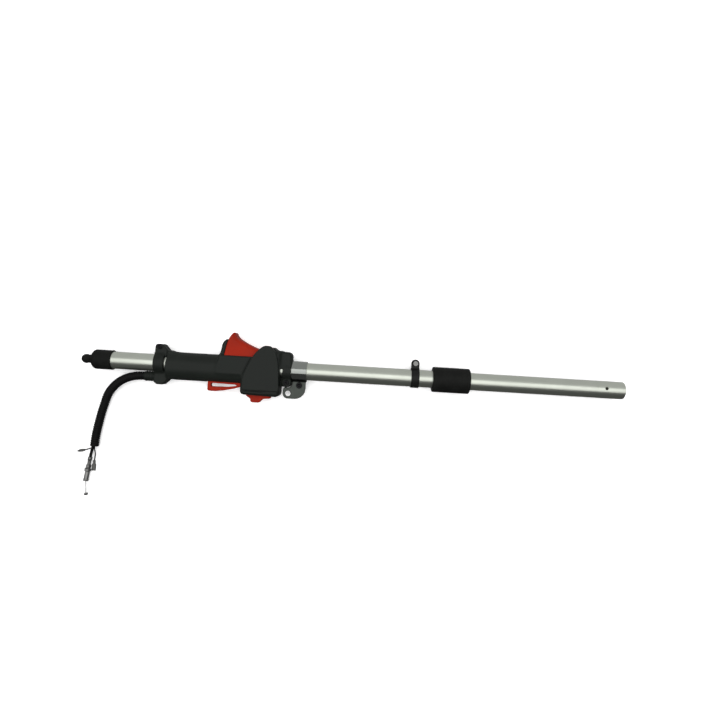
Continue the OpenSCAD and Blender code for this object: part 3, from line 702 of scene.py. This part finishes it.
def drill(b, at, r):
    """A round hole through everything, its axis upright."""
    return slab(disc(b.x, b.y, at, r), b.z, -THROUGH, THROUGH)


def handle_solid(b):
    """The outside of the whole handle, both halves."""
    ring = np.hypot(b.y, b.z)
    grip = span(b, capsule(b, 20.0), -160, -38)
    body = merge(grip, plate_of(b, POD_REAR, HOUSING_HALF, 2.5), 6.0)
    pod = np.minimum(outline(b.x, b.y, POD), disc(b.x, b.y, LEAF_TOP, 10.0))
    body = merge(body, slab(pod, b.z, -HOUSING_HALF, HOUSING_HALF, 6.0), 2.0)
    body = merge(body, plate_of(b, FIN, 13, 2.0), 2.0)
    body = merge(body, plate_of(b, FLARE, 13, 3.0), 2.5)
    rear = merge(plate_of(b, REAR_LUG, 10, 2.0), span(b, ring - 18.5, -180.5, -164), 3.0)
    body = merge(body, rear, 2.0)
    front = merge(plate_of(b, FRONT_BLOCK, 15, 4.0), span(b, ring - 18.0, 20, 40.5), 4.0)
    boss = slab(disc(b.x, b.y, FRONT_SCREW, 7.5), b.z, -12, 12, 1.2)
    front = merge(front, merge(boss, plate_of(b, FRONT_WEB, 9, 1.5), 1.5), 2.5)
    body = merge(body, front, 5.0)
    # Both faces are flat, but for a soft channel round the leaf's rear edge.
    rear_side = np.clip((HANDLE_AT + 4 - b.x) / 8, 0, 1)
    channel = 1.5 * rear_side * np.exp(-(outline(b.x, b.y, LEAF) / 3.2) ** 2)
    body = np.maximum(body, np.maximum(b.z + channel, -b.z) - HOUSING_HALF)
    return soften(b.full(body), 1.0)


def handle_cuts(b):
    """Everything that is open in the handle."""
    x = b.x - HANDLE_AT
    cuts = np.maximum(np.hypot(b.y, b.z) - TUBE_R - FIT, np.abs(x + 70) - 115)
    cuts = merge(cuts, span(b, capsule(b, 17.5), -158, -35.9))
    cuts = merge(cuts, plate_of(b, POD_ROOM, HOUSING_ROOM_HALF))
    trigger_slot = shifted([
        (-68.2, 10, 0), (-68.2, 19, 0), (-64.9, 34.8, 0), (-62, 50, 0), (10.2, 50, 0), (10.2, 10, 0),
    ])
    cuts = merge(cuts, plate_of(b, trigger_slot, HOUSING_ROOM_HALF, 1.0))
    lever_slot = shifted([(-97, -45, 0), (-97, -18, 0), (-35, -18, 0), (-35, -34, 0), (-60, -45, 0)])
    cuts = merge(cuts, plate_of(b, lever_slot, 6, 1.0))
    rocker_slot = shifted([(-34, -49, 0), (11, -49, 0), (11, -37, 0), (-34, -37, 0)])
    cuts = merge(cuts, plate_of(b, rocker_slot, 8, 1.0))
    rear_slit = shifted([(-161.8, 3.5, 1), (-159, 3.5, 1), (-159, 12.5, 1), (-161.8, 12.5, 1)])
    cuts = merge(cuts, plate_of(b, rear_slit, THROUGH))
    front_slit = shifted([(23.2, -12, 2), (27.3, -12, 2), (27.3, 3, 2), (23.2, 3, 2)])
    cuts = merge(cuts, plate_of(b, front_slit, THROUGH))
    duct = np.hypot(b.y - DUCT_Y, b.z)
    cuts = merge(cuts, span(b, duct - 5.5, -182, -150))
    cuts = merge(cuts, span(b, duct - 6.5, -182, -174))
    for at in (REAR_SCREW, FRONT_SCREW):
        cuts = merge(cuts, drill(b, at, 2.4))
    return cuts


def shell_posts(b):
    """Screw posts, and the bosses that hold the lever's and rocker's pins."""
    posts = np.inf
    bosses = ((-30, -34.5, 3.4, -2), (15.5, -34.5, 3.4, -2), (-34, -24, 4, 6), (-12.5, -35.5, 3.2, 8))
    for x, y, r, low in bosses:
        posts = merge(posts, slab(disc(b.x, b.y, (x + HANDLE_AT, y), r), np.abs(b.z), low, 18))
    return posts


def make_handle():
    """The two halves of the handle, each with a fine groove along the seam."""
    for name, side, low, high in (("front", 1, -1.4, 21.6), ("back", -1, -21.6, 1.4)):
        b = Block((-762, -44, low), (-536, 48, high), HANDLE_STEP)
        solid = merge(cut(handle_solid(b), handle_cuts(b)), shell_posts(b))
        solid = cut(solid, drill(b, PIVOT, 3.0))
        seam = 0.35 * np.clip(1 - (side * b.z) / 0.9, 0, 1)
        solid = np.maximum(solid + seam, -side * b.z + 0.04)
        if side < 0:
            for at in ((-30, -34.5), (15.5, -34.5), (17, 22)):
                recess = slab(disc(b.x, b.y, (at[0] + HANDLE_AT, at[1]), 3.2), b.z, -THROUGH, -17.9)
                solid = cut(solid, recess)
        b.mesh(solid, f"handle_half_{name}", "pole", "handle_plastic", [f"handle_shell_{name}"])


def make_linkage_cover():
    """The raised leaf on the front half, with its narrow rounded rim."""
    b = Block((-617, -39, 14.5), (-554, 41, 26), 0.5)
    plan = np.minimum(outline(b.x, b.y, LEAF), disc(b.x, b.y, LEAF_TOP, 10.2))
    solid = slab(plan, b.z, 10, 24.9, 1.3)
    solid = np.maximum(solid, 15.4 - b.z)
    b.mesh(soften(b.full(solid), 0.9), "leaf_cover", "pole", "handle_plastic", ["linkage_cover"])


# ---------------------------------------------------------------- red controls

FINGER_FACE = [
    (-52.6, 56.4, 1.2), (-51.4, 52.2, 3), (-47, 47.2, 10), (-36.2, 41, 40), (-22, 34.6, 60), (-13.4, 32, 8),
    (-3, 36, 0),
]
TRIGGER = shifted([
    (-67.5, 12, 2), (-67.5, 19.6, 30), (-64.6, 34.8, 40), (-61.2, 46.5, 20), (-58.2, 51.4, 6),
    (-55.2, 56.4, 1.4), *FINGER_FACE, (0, 18.6, 0), (-20, 12, 30),
])
BELOW_FACE = shifted([(-110, 56.4, 0), *FINGER_FACE, (60, 40, 0), (60, -60, 0), (-110, -60, 0)])
TRIGGER_ROOM = shifted([
    (-85, -5, 0), (-85, 33, 0), (-62.5, 33, 0), (-59.4, 44, 8), (-57, 48.8, 1), (-54.6, 48.8, 1),
    (-48.8, 44.4, 6), (-37.4, 37.8, 20), (-22.6, 31.2, 20), (-16, 28.6, 4), (-9.5, 21, 2), (-9.5, -5, 0),
])


def make_trigger():
    """A hollow trigger, its finger face rounded across the width, with the arm that pulls the wire."""
    b = Block((-648, -18, -18), (-567, 59, 18), 0.7)
    body = np.maximum(plate_of(b, TRIGGER, TRIGGER_HALF, 1.2), plate_of(b, BELOW_FACE, TRIGGER_HALF, 8.0))
    body = merge(body, slab(disc(b.x, b.y, PIVOT, 9.0), b.z, -TRIGGER_HALF, TRIGGER_HALF, 1.2), 0.5)
    body = cut(body, plate_of(b, TRIGGER_ROOM, TRIGGER_ROOM_HALF, 0.8))
    arm = shifted([(-7, 26, 0), (7, 26, 0), (6, -10.5, 6), (6, -16.5, 5.9), (-6, -16.5, 5.9), (-6, -10.5, 6)])
    body = merge(body, slab(outline(b.x, b.y, arm), b.z, -TRIGGER_HALF, -TRIGGER_ROOM_HALF, 0.4), 0.5)
    body = cut(body, drill(b, PIVOT, 3.05))
    body = cut(body, slab(disc(b.x, b.y, (HANDLE_AT, -10.5), 3.8), b.z, -THROUGH, 0))
    # Room for the spring round the pin.
    spring_half = 7.5
    body = cut(body, slab(disc(b.x, b.y, PIVOT, 7.2), b.z, -spring_half, spring_half))
    below = shifted([(-9.6, 8, 0), (7.4, 8, 0), (7.4, 25, 0), (-9.6, 25, 0)])
    body = cut(body, plate_of(b, below, spring_half))
    body = soften(b.full(body), 0.8)
    b.mesh(body, "throttle_trigger_shell", "trigger", "red_plastic", ["throttle_trigger"])


LEVER = shifted([
    (-94.5, -23, 1.5), (-94.5, -38.3, 2), (-92.3, -40.2, 2), (-81.6, -40.3, 10), (-66.8, -38.2, 30),
    (-52, -34.6, 30), (-42, -31.6, 10), (-34, -29.4, 3), (-34, -23, 0),
])
LEVER_HOLE = shifted([
    (-89, -27.2, 1.5), (-50, -27.8, 2), (-46, -29.2, 0.5), (-52, -30.8, 8), (-62, -32.2, 20),
    (-87.6, -32.8, 1.2), (-89, -31.4, 1),
])


def make_lever():
    """The thin loop of the safety lever, with its hub and the spring's room."""
    b = Block((-675, -42, -6), (-605, -17, 6), 0.5)
    at = (HANDLE_AT - 34, -24)
    hub = slab(disc(b.x, b.y, at, 5.5), b.z, -5, 5, 0.5)
    body = merge(plate_of(b, LEVER, 5, 1.3), hub, 0.8)
    body = cut(body, plate_of(b, LEVER_HOLE, THROUGH), 0.6)
    body = cut(body, drill(b, at, 2.05))
    body = cut(body, slab(disc(b.x, b.y, at, 4.3), b.z, -3, 3))
    b.mesh(soften(b.full(body), 0.8), "safety_lever_arm", "lever", "red_plastic", ["safety_lever"])


ROCKER = shifted([
    (-31, -39.8, 1.5), (-12.5, -38.8, 0), (8.6, -41.2, 1), (8.6, -47, 1.5), (-4.2, -48.4, 2),
    (-6.5, -51.5, 2), (-9.6, -54.8, 2.2), (-20.6, -54.9, 2), (-23.2, -53, 1.5), (-23.5, -49.2, 1.5),
    (-27.5, -46.2, 2), (-31, -43.9, 1.5),
])


def make_rocker():
    """The stop switch's key, with fine ribs under its tab."""
    b = Block((-613, -56, -8), (-569, -30, 8), 0.5)
    at = (HANDLE_AT - 12.5, -35.5)
    half = 7
    neck = shifted([(-16.2, -35.5, 0), (-8.8, -35.5, 0), (-7, -41, 0), (-18, -41, 0)])
    body = merge(plate_of(b, ROCKER, half, 1.1), plate_of(b, neck, half), 0.8)
    body = merge(body, slab(disc(b.x, b.y, at, 3.7), b.z, -half, half, 0.4), 0.5)
    from_tab = b.x - HANDLE_AT + 15
    rib_pitch = 2.6
    ribs = 0.45 * np.clip(np.cos(from_tab * 2 * math.pi / rib_pitch), 0, 1)
    tab = np.clip(-b.y - 52, 0, 1) * (np.abs(from_tab) < 6)
    body = cut(body + ribs * tab, drill(b, at, 1.55))
    b.mesh(soften(b.full(body), 0.8), "stop_rocker_key", "rocker", "red_plastic", ["stop_rocker"])


make_handle()
make_linkage_cover()
make_trigger()
make_lever()
make_rocker()


# ---------------------------------------------------------------- fittings on the tube

def make_cap():
    """Rubber cap: round nub over the shaft's end, round shoulder, a bead at its mouth."""
    mouth = [(-829, 14.05), (-829, 15.3)] + arc(-830, 15.3, 0.75, 0, 90, 4) + [(-832, 15.95), (-833, 15.8)]
    shoulder = [(-853, 15.9)] + arc(-855, 9.0, 7.0, 90, 172, 10)
    neck = [(-862.6, 8.9), (-864.4, 7.6), (-866.4, 6.9), (-868.4, 6.8)]
    nub = arc(-873.5, 0.0, 7.5, 58, 180, 16)
    inside = [(-877.5, 0.0), (-877.5, 5.5), (-858.1, 5.5), (-858.1, 14.05)]
    profile = [(x, max(r, 0.02)) for x, r in mouth + shoulder + neck + nub + inside]
    lathe(profile, "rubber_end_cap", "end_cap", "black_rubber", ["engine_end_cap"])


def make_sleeve():
    """The black sleeve, with fine moulded rings."""
    edge = 2.0
    ring_pitch = 5.0
    ripple = []
    for x in np.arange(-252.2, -308, -0.5):
        in_ring = math.cos(x * 2 * math.pi / ring_pitch) > 0.96
        ripple.append((x, 20.45 - 0.12 * in_ring))
    profile = ([(-250, TUBE_R), (-250, 18.5)] + arc(-252, 18.5, edge, 0, 90) + ripple
               + arc(-308, 18.5, edge, 90, 180) + [(-310, TUBE_R)])
    lathe(profile, "rubber_sleeve_body", "pole", "black_rubber", ["rubber_sleeve"])


def make_tube():
    """The tube: reamed mouth, scribed line, small chamfers, and a locating hole in the near wall."""
    mouth = [(0, 12.95), (0, 13.7), (-0.3, 14)] + [(x, 14.0) for x in np.arange(-8, -45, -4)]
    scribed_line = [(-45, 14), (-45.05, 13.75), (-45.75, 13.75), (-45.8, 14)]
    outside = [(x, 14.0) for x in np.arange(-60, -850, -20)] + [(-857.7, 14), (-858, 13.7)]
    inside = [(-858, 12.7), (-857.8, 12.5)] + [(x, 12.5) for x in np.arange(-840, -12, 20)]
    reamed = [(-11.5, 12.5), (-11.45, 12.75), (-0.2, 12.75)]
    tube = lathe(mouth + scribed_line + outside + inside + reamed, "aluminium_tube", "pole",
                 "tube_aluminium", ["drive_tube"], sides=128)
    hole_at, hole_r, roll, sides = -31.0, 2.7, math.radians(10.5), 48
    a = np.linspace(0, 2 * math.pi, sides, endpoint=False)
    along = np.array([1.0, 0, 0])
    way = np.array([0, math.sin(roll), math.cos(roll)])
    across = np.array([0, math.cos(roll), -math.sin(roll)])
    ring = [along * hole_at + hole_r * (math.cos(t) * along + math.sin(t) * across) for t in a]
    points = np.array([p + way * h for h in (6.0, 20.0) for p in ring]) * MM
    faces = [tuple(range(sides - 1, -1, -1)), tuple(range(sides, 2 * sides))]
    faces += [(k, (k + 1) % sides, sides + (k + 1) % sides, sides + k) for k in range(sides)]
    cutter_mesh = bpy.data.meshes.new("drill")
    cutter_mesh.from_pydata(points.tolist(), [], faces)
    cutter = bpy.data.objects.new("drill", cutter_mesh)
    bpy.context.scene.collection.objects.link(cutter)
    bore = tube.modifiers.new("locating_hole", "BOOLEAN")
    bore.object, bore.operation, bore.solver = cutter, "DIFFERENCE", "EXACT"
    bpy.context.view_layer.update()
    whole = bpy.data.meshes.new_from_object(tube.evaluated_get(bpy.context.evaluated_depsgraph_get()))
    tube.modifiers.clear()
    tube.data = whole
    whole.set_sharp_from_angle(angle=math.radians(35))
    bpy.data.objects.remove(cutter)


CLIP_AT = -338.5
CLIP_HALF_WIDTH = 6.5
CLIP_SPLIT_HALF = 1.5


def make_stop_clamp():
    """The split strap clip: a band with two round ears and a hole through them."""
    b = Block((-346, -16.5, -17), (-331, 32, 17), 0.4)
    ring = np.hypot(b.y, b.z)
    beyond_width = np.abs(b.x - CLIP_AT) - CLIP_HALF_WIDTH
    band = np.maximum(np.abs(ring - 14.8) - 0.8, beyond_width)
    hole = (CLIP_AT, 24.0)
    ear_plan = np.minimum(disc(b.x, b.y, hole, CLIP_HALF_WIDTH),
                          np.maximum(beyond_width, np.abs(b.y - 18.5) - 5.5))
    ears = slab(ear_plan, np.abs(b.z), CLIP_SPLIT_HALF, 3.5, 0.3)
    # The band is split on the ears' side only.
    split = slab(np.abs(b.x - CLIP_AT) - 20, b.z, -CLIP_SPLIT_HALF, CLIP_SPLIT_HALF)
    split = split + np.where(b.y < 0, 99, 0)
    body = merge(cut(band, split), ears, 2.2)
    body = np.maximum(body, TUBE_R + FIT - ring)
    body = cut(body, drill(b, hole, 2.1))
    b.mesh(soften(b.full(body), 0.7), "strap_clip", "pole", "clip_plastic", ["stop_clamp"])


HANGER_AT = -525.75
HANGER_HALF_WIDTH = 12.25
HANGER_PLATE = fillet([
    (-538.2, -8, 0), (-514.8, -8, 0), (-514.8, -45.4, 17), (-551.4, -45.4, 8.5), (-551.4, -29, 5),
    (-545, -25, 0), (-538.2, -18.7, 0),
])


def make_hanger():
    """The hanger: a strap round the tube with two flat plates below it."""
    b = Block((-555, -47.5, -17), (-511.5, 17, 17), 0.4)
    ring = np.hypot(b.y, b.z)
    band = np.maximum(np.abs(ring - 15.0) - 1.0, np.abs(b.x - HANGER_AT) - HANGER_HALF_WIDTH)
    plate = slab(outline(b.x, b.y, HANGER_PLATE), np.abs(b.z), 0.1, 2.1, 0.25)
    plate = cut(plate, drill(b, FRONT_SCREW, 8.2))
    body = np.maximum(merge(band, plate, 2.5), TUBE_R + FIT - ring)
    body = cut(body, drill(b, CARRY_HOLE, 4.5))
    body = cut(body, drill(b, HANGER_BOLT, 3.1))
    b.mesh(soften(b.full(body), 0.6), "hanger_strap", "pole", "hanger_steel", ["hanger_bracket"])


def upright(at):
    """Turns a piece made round X so that it stands at a place in the plan, X becoming Z."""
    def place(points):
        p = np.asarray(points, float)
        return np.stack([at[0] + p[:, 1], at[1] + p[:, 2], p[:, 0]], axis=1)
    return place


def cap_screw(name, at, head_z, head_r, head_h, shank_r, low, socket_r, body, slot, replaced=()):
    """A round-headed screw with a hexagon socket, its axis upright."""
    sides = 72
    a = np.linspace(0, 2 * math.pi, sides, endpoint=False)
    hexagon = socket_r * math.cos(math.pi / 6) / np.cos((a % (math.pi / 3)) - math.pi / 6)
    top = head_z + head_h
    centre = 0.02  # stands in for a zero radius
    shank = [(low, centre), (low, shank_r - 0.4), (low + 0.4, shank_r), (head_z, shank_r)]
    head = [(head_z, head_r - 0.3), (head_z + 0.3, head_r), (head_z + head_h * 0.6, head_r),
            (head_z + head_h * 0.87, head_r - 0.3), (top, head_r - 1.0)]
    socket = [(top, hexagon + 0.15), (top - 0.2, hexagon), (head_z + head_h * 0.45, hexagon),
              (head_z + head_h * 0.4, centre)]
    points, faces = skin(turned_rings(shank + head + socket, a), closed_ends=True)
    new_mesh(name, upright(at)(points), faces, body, slot, replaced)


def make_fasteners():
    """The screws and nuts of the hanger and of the handle's two clamps."""
    screw = {"body": "pole", "slot": "black_steel"}
    nut = {"body": "pole", "slot": "zinc_steel", "along": -1.0}
    cap_screw("hanger_bolt_m6", HANGER_BOLT, 2.1, 5.0, 4.0, 3.0, -10, 2.7, **screw, replaced=["hanger_bolt"])
    hex_nut("hanger_nut_m6", -2.1, 10, 5, 3.0, **nut, replaced=["hanger_nut"], place=upright(HANGER_BOLT))
    cap_screw("clamp_screw_rear", REAR_SCREW, 10.0, 4.1, 3.0, 2.4, -14, 2.3, **screw,
              replaced=["clamp_screws"])
    cap_screw("clamp_screw_front", FRONT_SCREW, 12.0, 4.1, 3.0, 2.4, -16, 2.3, **screw)
    hex_nut("clamp_nut_rear", -10.0, 8, 3.6, 2.4, **nut, replaced=["clamp_nuts"], place=upright(REAR_SCREW))
    hex_nut("clamp_nut_front", -12.0, 8, 3.6, 2.4, **nut, place=upright(FRONT_SCREW))


def make_collar():
    """Ribbed strain relief where the conduit leaves the handle."""
    rib_at, rib_pitch = -761.5, 4.0
    ribs = [(x, 7.9 + 0.4 * math.cos((x - rib_at) * 2 * math.pi / rib_pitch))
            for x in np.arange(-760.2, -775.8, -0.4)]
    profile = ([(-753.5, 4.6), (-753.5, 6.4), (-759.5, 6.4), (-759.5, 7.7)] + ribs
               + [(-776.2, 7.6), (-776.5, 7.3), (-776.5, 7.05), (-764, 7.05), (-764, 4.6)])
    lathe(profile, "ribbed_collar", "pole", "handle_plastic", ["conduit_collar"],
          lambda p: np.asarray(p) + np.array([0, DUCT_Y, 0]), 64)


make_cap()
make_sleeve()
make_tube()
make_stop_clamp()
make_hanger()
make_fasteners()
make_collar()


# ---------------------------------------------------------------- carried-over CAD nodes

def finish_cad_nodes():
    """Each CAD node gets its material, and each that still shows gets small bevels."""
    slots = {row["node"]: row["material_slot"] for row in frame["record"]["subparts"]}
    for name, obj in frame["nodes"].items():
        obj.data.materials.clear()
        obj.data.materials.append(MATERIALS[slots[name]])
        if obj.hide_render:
            continue
        bevel = obj.modifiers.new("edge", "BEVEL")
        bevel.width = 0.0002
        bevel.segments = 2
        bevel.limit_method = "ANGLE"
        bevel.angle_limit = math.radians(40)


finish_cad_nodes()


# ---------------------------------------------------------------- stage and light

def make_stage():
    size = 6.0
    mesh = bpy.data.meshes.new("floor")
    z = FLOOR_Z * MM - 0.00005
    corners = [(-size, -size, z), (size, -size, z), (size, size, z), (-size, size, z)]
    mesh.from_pydata(corners, [], [(0, 1, 2, 3)])
    floor = bpy.data.objects.new("floor", mesh)
    bpy.context.scene.collection.objects.link(floor)
    paint = Nodes("floor_paint", (0.93, 0.93, 0.93), 0.9)
    paint.set("Emission Color", (1.0, 1.0, 1.0, 1.0))
    paint.set("Emission Strength", 0.3)
    floor.data.materials.append(paint.mat)
    floor.visible_glossy = False


def make_light(name, place, aim, size, radiance, mirrored=True):
    data = bpy.data.lights.new(name, "AREA")
    data.shape, data.size, data.size_y = "RECTANGLE", size[0], size[1]
    data.energy = radiance * size[0] * size[1] * math.pi
    lamp = bpy.data.objects.new(name, data)
    lamp.location = place
    lamp.rotation_mode = "QUATERNION"
    lamp.rotation_quaternion = (Vector(aim) - Vector(place)).to_track_quat("-Z", "Y")
    lamp.visible_glossy = mirrored
    bpy.context.scene.collection.objects.link(lamp)


def make_world():
    """A room that is dim on the grip's underside and brighter on the trigger's side."""
    world = bpy.data.worlds.new("studio")
    world.use_nodes = True
    tree = world.node_tree
    where = tree.nodes.new("ShaderNodeTexCoord")
    split = tree.nodes.new("ShaderNodeSeparateXYZ")
    spread = tree.nodes.new("ShaderNodeMapRange")
    for key, number in (("From Min", -0.35), ("From Max", 0.55), ("To Min", 0.07), ("To Max", 0.46)):
        spread.inputs[key].default_value = number
    tree.links.new(where.outputs["Generated"], split.inputs["Vector"])
    tree.links.new(split.outputs["Y"], spread.inputs["Value"])
    tree.links.new(spread.outputs["Result"], tree.nodes["Background"].inputs["Strength"])
    tree.nodes["Background"].inputs["Color"].default_value = (1.0, 1.0, 1.0, 1.0)
    bpy.context.scene.world = world


def make_lights():
    make_world()
    make_light("overhead_softbox", (-0.45, -0.03, 1.6), (-0.45, -0.03, 0.0), (3.2, 1.55), 1.0)
    make_light("even_fill", (-0.45, 0.1, 2.0), (-0.45, 0.0, 0.0), (3.4, 3.4), 1.5, mirrored=False)
    bpy.context.scene.view_settings.view_transform = "Standard"


make_stage()
make_lights()
